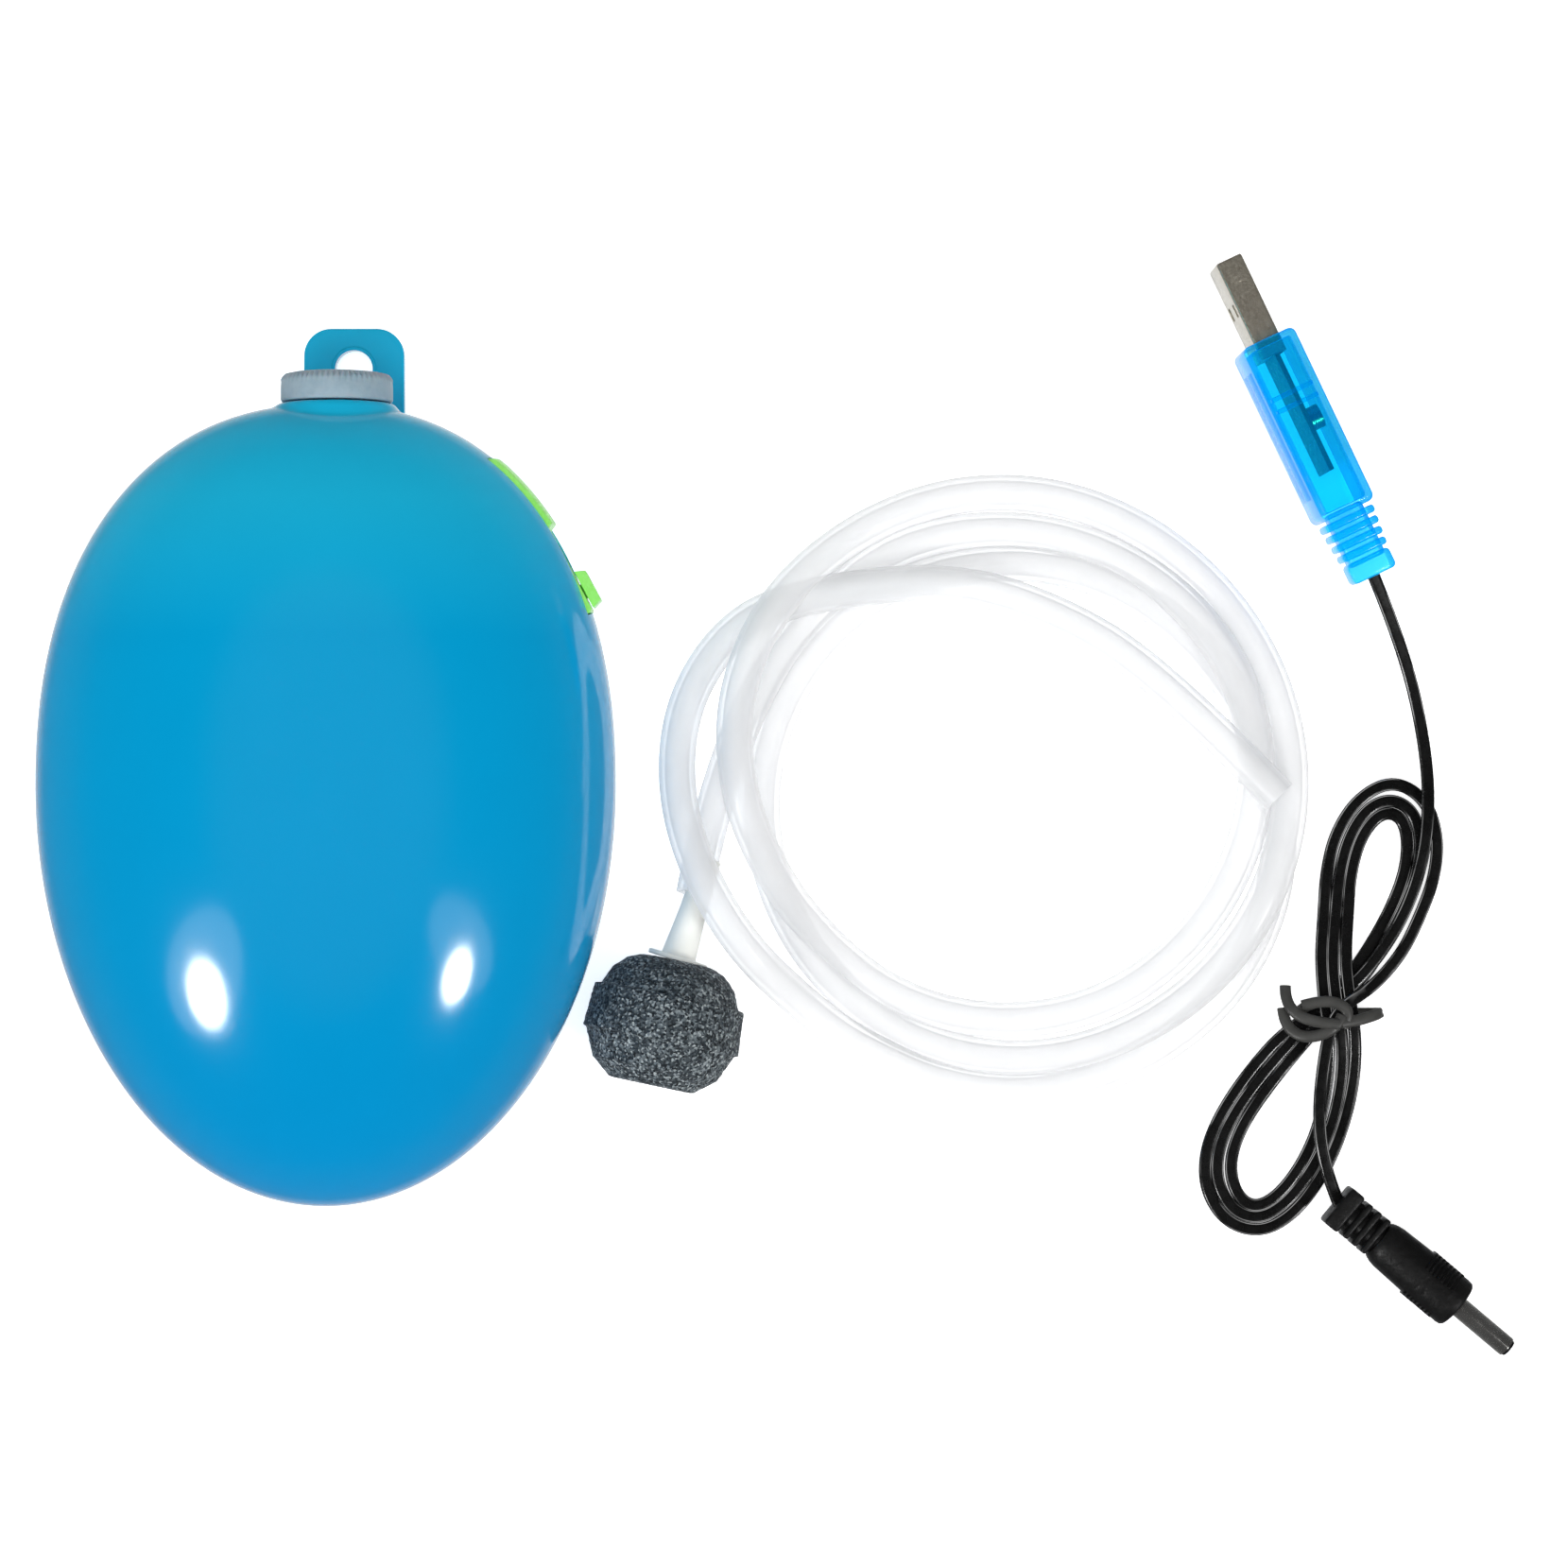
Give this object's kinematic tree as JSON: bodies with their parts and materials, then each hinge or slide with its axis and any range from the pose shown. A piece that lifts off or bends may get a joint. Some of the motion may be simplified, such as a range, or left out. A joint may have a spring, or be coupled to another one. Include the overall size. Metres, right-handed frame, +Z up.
{
  "type": "aquarium air pump",
  "caption": "Egg-shaped portable aquarium air pump with hang tab, flow knob and side slide switch, shown with its coiled air hose and air stone and a tied charging lead.",
  "frame": {"origin": "middle of the flat rest face on the back of the egg, on the surface it lies on", "axes": "+Z up through the front shell, +Y towards the hang tab and the flow knob, +X towards the side with the switch"},
  "size_m": [0.2402, 0.1814, 0.0585],
  "materials": {
    "shell_blue": "high gloss",
    "lime": "satin gloss",
    "knob_frost": "frosted translucent",
    "clear_acetal": "natural",
    "black_plastic": "fine grain",
    "black_rubber": "matt",
    "cell_wrap": "printed sleeve",
    "steel": "bright",
    "nickel": "nickel plated",
    "brass": "bare",
    "ferrite": "matt",
    "pcb": "solder mask",
    "chip": "matt",
    "stone": "sintered grains",
    "white_plastic": "satin",
    "hose_clear": "clear silicone",
    "usb_blue": "transparent tinted",
    "flex_black": "glossy flex"
  },
  "bodies": {
    "base": {"rear_shell": "shell_blue", "switch_plate": "lime", "slide_switch": "black_plastic", "regulator_body": "clear_acetal", "battery_1": "cell_wrap", "battery_2": "cell_wrap", "battery_tray": "black_plastic", "contact_bridge": "nickel", "contact_plus": "nickel", "contact_minus": "nickel", "motor_can": "steel", "motor_end_cap": "white_plastic", "magnet_1": "ferrite", "magnet_2": "ferrite", "motor_bracket": "black_plastic", "diaphragm": "black_rubber", "clamp_ring": "black_plastic", "pump_chamber": "clear_acetal", "valve_plate": "clear_acetal", "inlet_flap": "black_rubber", "outlet_flap": "black_rubber", "pump_cover": "clear_acetal", "pump_screws": "steel", "inner_hose": "hose_clear", "dc_jack": "black_plastic", "circuit_board": "pcb", "board_capacitor": "chip", "board_chip": "chip", "air_stone": "stone", "stone_nipple": "white_plastic", "hose_run": "hose_clear", "hose_loop": "hose_clear", "hose_tail": "hose_clear", "hose_coil": "hose_clear", "usb_shell": "nickel", "usb_tongue": "white_plastic", "usb_housing": "usb_blue", "usb_board": "pcb", "usb_coil": "brass", "usb_relief": "usb_blue", "lead_run": "flex_black", "lead_hank": "flex_black", "lead_tail": "flex_black", "twist_tie": "black_rubber", "dc_relief": "black_plastic", "dc_body": "black_plastic", "dc_pin": "nickel", "dc_insulator": "black_plastic"},
    "front": {"front_shell": "shell_blue"},
    "slider": {"switch_slider": "lime"},
    "knob": {"air_knob": "knob_frost", "knob_stem": "clear_acetal", "knob_oring": "black_rubber"},
    "rotor": {"rotor_core": "steel", "motor_shaft": "steel", "eccentric": "white_plastic"},
    "rod": {"connecting_rod": "clear_acetal", "rod_plunger": "clear_acetal"}
  },
  "joints": [
    {"name": "front_shell_lift", "type": "slide", "parent": "base", "child": "front", "axis": [0, 0, 1], "range_m": [0, 0.06]},
    {"name": "switch_slide", "type": "slide", "parent": "base", "child": "slider", "axis": [-0.4726, 0.8813, 0], "range_m": [0, 0.006]},
    {"name": "flow_knob_turn", "type": "hinge", "parent": "base", "child": "knob", "pos_m": [0.0017, 0.066, 0.029], "axis": [0, 1, 0], "range_deg": [0, 270]},
    {"name": "motor_spin", "type": "hinge", "parent": "base", "child": "rotor", "pos_m": [-0.01, 0.0386, 0.033], "axis": [1, 0, 0], "continuous": true},
    {"name": "rod_stroke", "type": "slide", "parent": "base", "child": "rod", "axis": [0, 0, 1], "range_m": [-0.0008, 0.0008]}
  ]
}
